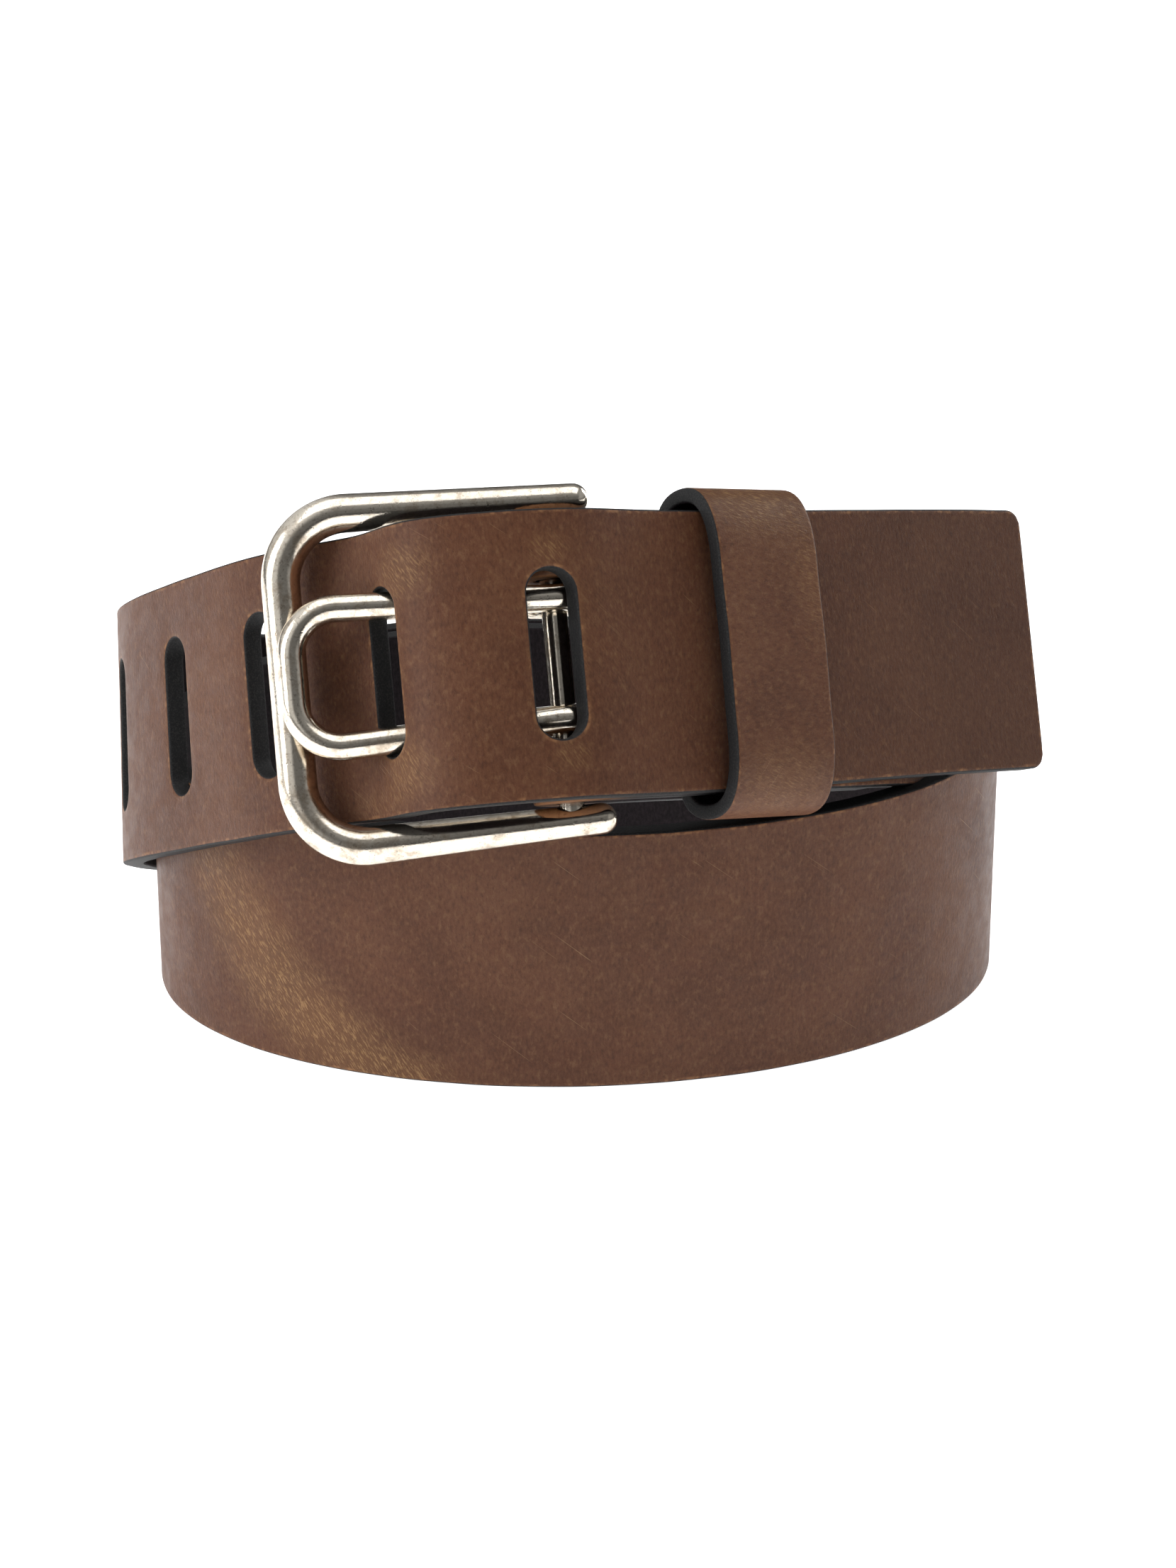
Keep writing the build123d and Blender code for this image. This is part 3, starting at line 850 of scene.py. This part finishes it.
def metal(name, bright, dull, shine, wear):
    """Plated metal with hairlines, small pits and brown tarnish."""
    shader = Shader(bpy.data.materials.new(name))
    place = shader.node("ShaderNodeTexCoord", output=3)
    tarnish = shader.noise(place, TARNISH, 8.0, 0.72)
    speck = shader.noise(place, SPECKS, 5.0, 0.7)
    hairline = shader.noise(shader.scaled(place, (0.30, 3.0, 1.8)), HAIRLINES, 4.0, 0.75)
    pits = shader.cells(place, PITS)
    worn = shader.ramp(tarnish, 0.46, 0.66, 0.0, wear)
    look = shader.mix(worn, bright, dull)
    look = shader.mix(shader.ramp(speck, 0.56, 0.66, 0.0, 0.60 * wear), look, SPECK_BROWN)
    look = shader.mix(shader.ramp(pits, 0.14, 0.06, 0.0, 0.7 * wear), look, PIT_BROWN)
    rough = shader.ramp(tarnish, 0.42, 0.70, shine, shine + 0.12)
    rough = shader.math("ADD", rough, shader.ramp(hairline, 0.58, 0.75, 0.0, 0.10))
    relief = shader.math("ADD", hairline, speck)
    relief = shader.math("ADD", relief, shader.ramp(pits, 0.04, 0.20, 0.0, 0.6))
    normal = shader.bump(relief, *METAL_BUMP)
    return shader.finish(Base_Color=look, Roughness=rough, Metallic=1.0, Normal=normal)


# ---- strap and keeper ----------------------------------------------------------------------------
# Each wrinkled, golden patch: its place along and across the flat leather, its reach both ways, in
# millimetres, and its strength.
STRAP_CREASES = (
    (111.0, 13.0, 7.0, 6.0, 0.50),
    (113.0, -14.0, 7.0, 6.0, 0.55),
    (84.0, 4.0, 12.0, 18.0, 0.10),
    (91.0, 14.5, 4.0, 3.0, 0.40),
    (90.0, -14.0, 4.0, 3.0, 0.40),
    (120.0, -18.0, 10.0, 3.0, 0.30),
    (533.0, 12.0, 11.0, 9.0, 0.30),
    (529.0, 5.0, 11.0, 9.0, 0.50),
    (524.0, -2.0, 12.0, 9.0, 0.65),
    (518.0, -9.0, 13.0, 9.0, 0.75),
    (510.0, -15.0, 13.0, 8.0, 0.80),
    (501.0, -19.0, 12.0, 6.0, 0.75),
)
KEEPER_CREASES = (
    (74.0, 0.0, 9.0, 14.0, 0.70),
    (63.0, 8.0, 15.0, 6.0, 0.32),
    (33.0, 0.0, 8.0, 12.0, 0.28),
)
STRAP_CREASE_ANGLE = radians(34)
KEEPER_CREASE_ANGLE = radians(-19)
# Strength of the painted shade over the strap's tip end, which faces away from the key light.
TIP_PAINTED_SHADE = 0.42
KEEPER_LIGHTER = 0.03


def make_strap():
    route = strap_route()
    holes = [
        Hole(TIP_LENGTH + index * SLOT_PITCH, SLOT_WIDTH, SLOT_LENGTH, SLOT_WIDTH / 2)
        for index in range(SLOT_COUNT)
    ]
    holes.append(Hole(route.fold_middle, OPENING_LENGTH, OPENING_WIDTH, OPENING_RADIUS))
    stops = [(0.0, WHOLE), (RIM_LINES[0], WHOLE), (TIP_CORNER_RADIUS, TIP_STEP)]
    for hole in holes[:-1]:
        stops += [(hole.patch_start, GRID_STEP), (hole.patch_end, GRID_STEP)]
    stops += [(holes[-1].patch_start, GRID_STEP), (holes[-1].patch_end, FOLD_STEP)]
    stops += [(route.length - RIM_LINES[0], GRID_STEP), (route.length, WHOLE)]
    cut = flat_cut(stops, STRAP_WIDTH / 2, holes, TIP_CORNER_RADIUS)
    strap = leather_band(
        "strap_leather", route, cut, STRAP_WIDTH, STRAP_THICKNESS, holes, clear_of_prong
    )
    material = leather(
        "strap_leather",
        STRAP_THICKNESS,
        STRAP_CREASES,
        STRAP_CREASE_ANGLE,
        painted_shade=TIP_PAINTED_SHADE,
        bare_edge=route.fold_middle / MM,
    )
    strap.data.materials.append(material)
    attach(strap, "strap")
    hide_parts("strap")


def make_keeper():
    route = keeper_route()
    stops = [(0.0, WHOLE), (RIM_LINES[0], WHOLE)]
    stops += [(route.length - RIM_LINES[0], KEEPER_STEP), (route.length, WHOLE)]
    cut = flat_cut(stops, KEEPER_WIDTH / 2)
    keeper = leather_band("keeper_leather", route, cut, KEEPER_WIDTH, KEEPER_THICKNESS)
    material = leather(
        "keeper_leather", KEEPER_THICKNESS, KEEPER_CREASES, KEEPER_CREASE_ANGLE, lighter=KEEPER_LIGHTER
    )
    keeper.data.materials.append(material)
    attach(keeper, "keeper")
    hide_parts("keeper")


def make_metal():
    nickel = metal("polished_nickel", NICKEL_BRIGHT, NICKEL_DULL, shine=0.12, wear=0.65)
    steel = metal("plated_steel", STEEL_BRIGHT, STEEL_DULL, shine=0.20, wear=0.6)
    make_frame(nickel)
    make_prong(nickel)
    for holder in frame["nodes"]["centre_bar"].material_slots:
        holder.material = nickel
    for node in ("keeper_staple", "screw_posts", "screws"):
        for holder in frame["nodes"][node].material_slots:
            holder.material = steel


# ---- studio --------------------------------------------------------------------------------------
CAMERA_PLACE = (0.0030, -0.4659, 0.2053)
CAMERA_PITCH = radians(69.8)
CAMERA_LENS = 73.38
ROOM_DARK = 0.02
ROOM_WALL = 0.14
ROOM_CEILING = 0.14
ROOM_LEFT = 0.52
ROOM_RIGHT = 0.20
WHITE = (1, 1, 1, 1)
FLOOR_DARK, FLOOR_LIGHT = (0.94, 0.94, 0.94, 1), (0.96, 0.96, 0.96, 1)
FLOOR_GLOW = 0.92
FLOOR_SIZE = 30
LIGHT_TARGET = (0, 0, 0.04)
LIGHTS = (
    ("key", (-0.80, -0.30, 0.42), (0.50, 0.60), 3.7),
    ("side", (0.75, 0.60, 0.35), (0.35, 0.60), 3.4),
    ("top", (0.0, -0.05, 0.95), (1.1, 0.9), 4.4),
)


def area_light(name, place, size, power):
    """A soft light aimed at the belt."""
    light = bpy.data.lights.new(name, "AREA")
    light.shape = "RECTANGLE"
    light.size, light.size_y = size
    light.energy = power
    holder = bpy.data.objects.new(name, light)
    bpy.context.collection.objects.link(holder)
    holder.location = place
    holder.rotation_euler = (Vector(LIGHT_TARGET) - Vector(place)).to_track_quat("-Z", "Y").to_euler()


def make_studio():
    camera = bpy.data.cameras.new("camera")
    camera.sensor_fit = "VERTICAL"
    camera.sensor_height = 36
    camera.lens = CAMERA_LENS
    camera.clip_start = 0.01
    holder = bpy.data.objects.new("camera", camera)
    holder.location = CAMERA_PLACE
    holder.rotation_euler = (CAMERA_PITCH, 0, 0)
    bpy.context.collection.objects.link(holder)
    bpy.context.scene.camera = holder

    bpy.ops.mesh.primitive_plane_add(size=FLOOR_SIZE)
    floor = bpy.context.object
    floor.name = "floor"
    shader = Shader(bpy.data.materials.new("floor"))
    shade = shader.noise(shader.node("ShaderNodeTexCoord", output=3), 1.5, 2.0)
    look = shader.mix(shader.ramp(shade, 0.3, 0.7), FLOOR_DARK, FLOOR_LIGHT)
    shader.surface.inputs["Emission Color"].default_value = WHITE
    shader.surface.inputs["Emission Strength"].default_value = FLOOR_GLOW
    floor.data.materials.append(shader.finish(Base_Color=look, Roughness=0.7))

    world = bpy.data.worlds.new("studio")
    room = Shader(world, "Background")
    direction = room.node("ShaderNodeTexCoord", output=0)
    sideways = room.node("ShaderNodeSeparateXYZ", {0: direction}, output=0)
    height = room.node("ShaderNodeSeparateXYZ", {0: direction}, output=2)
    light = room.ramp(height, 0.04, 0.30, ROOM_DARK, ROOM_WALL)
    light = room.math("ADD", light, room.ramp(height, 0.45, 0.80, 0.0, ROOM_CEILING))
    left_wall = room.ramp(height, 0.02, 0.22, 0.0, ROOM_LEFT)
    right_wall = room.ramp(height, 0.0, 0.15, 0.0, ROOM_RIGHT)
    left = room.math("MULTIPLY", room.ramp(sideways, -0.08, -0.40), left_wall)
    right = room.math("MULTIPLY", room.ramp(sideways, 0.60, 0.85), right_wall)
    light = room.math("ADD", light, room.math("ADD", left, right))
    room.finish(Strength=light, Color=WHITE)
    bpy.context.scene.world = world
    bpy.context.scene.view_settings.view_transform = "Standard"

    for name, place, size, power in LIGHTS:
        area_light(name, place, size, power)


make_studio()
make_strap()
make_keeper()
make_metal()
